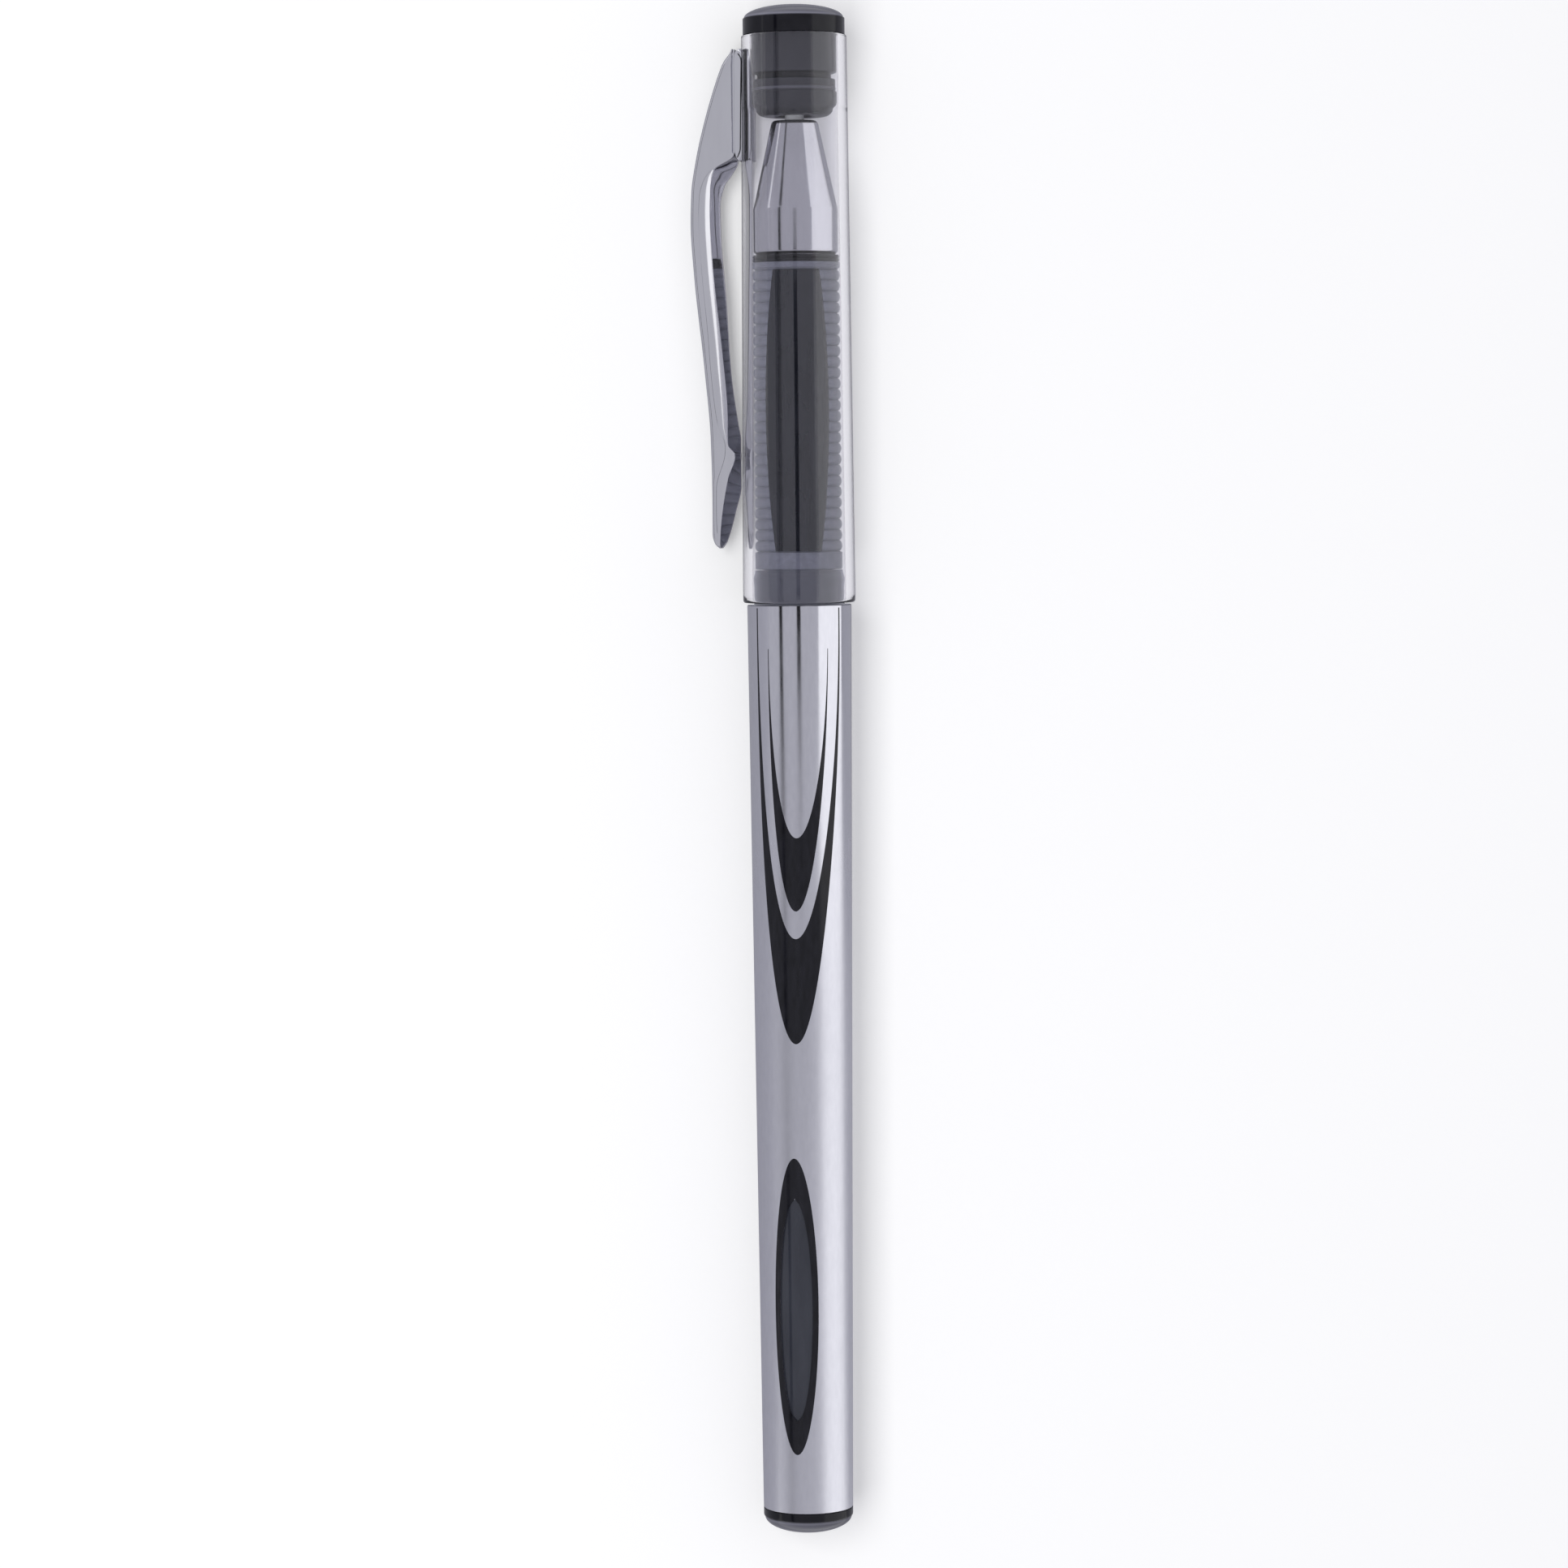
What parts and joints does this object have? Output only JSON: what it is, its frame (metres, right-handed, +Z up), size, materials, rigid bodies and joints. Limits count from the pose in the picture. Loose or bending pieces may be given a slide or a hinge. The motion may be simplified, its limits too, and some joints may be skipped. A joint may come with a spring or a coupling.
{
  "type": "gel pen",
  "caption": "Slim capped gel pen with a clear cap and spring clip, a screwed nose cone, a ribbed grip, a film-covered barrel with an oval window and a removable refill.",
  "frame": {"origin": "middle of the footprint, on the surface the pen lies on", "axes": "+X along the pen towards the cap end, +Z up, the clip towards +Y and rolled down until it touches the surface"},
  "size_m": [0.15, 0.0152, 0.011],
  "materials": {
    "clear_cap": "clear polished, with a real wall",
    "black_gloss": "polished black",
    "soft_seal": "matt, soft",
    "plated": "bright plating",
    "plated_nose": "satin-bright plating",
    "grip_rubber": "satin, slightly smoky",
    "smoke_barrel": "smoke-tinted, see-through",
    "silver_film": "silver metallic film with black print",
    "refill_clear": "natural, see-through",
    "natural_plastic": "natural, cloudy",
    "tip_metal": "turned nickel silver",
    "tip_ball": "polished hard metal",
    "spring_wire": "drawn wire",
    "ink": "black gel",
    "follower": "amber grease"
  },
  "bodies": {
    "pen": {"barrel": "smoke_barrel", "barrel_film": "silver_film", "grip_sleeve": "grip_rubber", "barrel_end_plug": "black_gloss"},
    "refill": {"refill_tube": "refill_clear", "tip_holder": "natural_plastic", "writing_tip": "tip_metal", "tip_spring": "spring_wire", "gel_ink": "ink"},
    "nose": {"nose_cone": "plated_nose", "nose_washer": "black_gloss"},
    "ball": {"tip_ball": "tip_ball"},
    "follower": {"ink_follower": "follower"},
    "seal": {"tip_seal": "soft_seal"},
    "cap": {"cap_body": "clear_cap", "cap_plug": "black_gloss", "clip_base": "plated"},
    "clip": {"pocket_clip": "plated"}
  },
  "joints": [
    {"name": "cap_pull", "type": "slide", "parent": "refill", "child": "seal", "axis": [1, 0, 0], "range_m": [0, 0.06]},
    {"name": "cap_turn", "type": "hinge", "parent": "seal", "child": "cap", "pos_m": [0.065, -0.00215, 0.0055], "axis": [1, 0, 0], "continuous": true},
    {"name": "clip_flex", "type": "hinge", "parent": "cap", "child": "clip", "pos_m": [0.07076, 0.00344, 0.00294], "axis": [0, -0.4171, -0.9089], "range_deg": [0, 3], "stiffness_Nm_per_rad": 2},
    {"name": "nose_advance", "type": "slide", "parent": "pen", "child": "refill", "axis": [1, 0, 0], "range_m": [0, 0.006]},
    {"name": "nose_turn", "type": "hinge", "parent": "refill", "child": "nose", "pos_m": [0.06375, -0.00215, 0.0055], "axis": [1, 0, 0], "range_deg": [0, 2161]},
    {"name": "ball_roll", "type": "hinge", "parent": "refill", "child": "ball", "pos_m": [0.0667, -0.00215, 0.0055], "axis": [0, 1, 0], "continuous": true},
    {"name": "follower_travel", "type": "slide", "parent": "refill", "child": "follower", "axis": [1, 0, 0], "range_m": [0, 0.09], "deforming": ["gel_ink"]}
  ],
  "couplings": [
    {"joint": "nose_turn", "follows": "nose_advance", "rad_per_m": 6283.2}
  ]
}
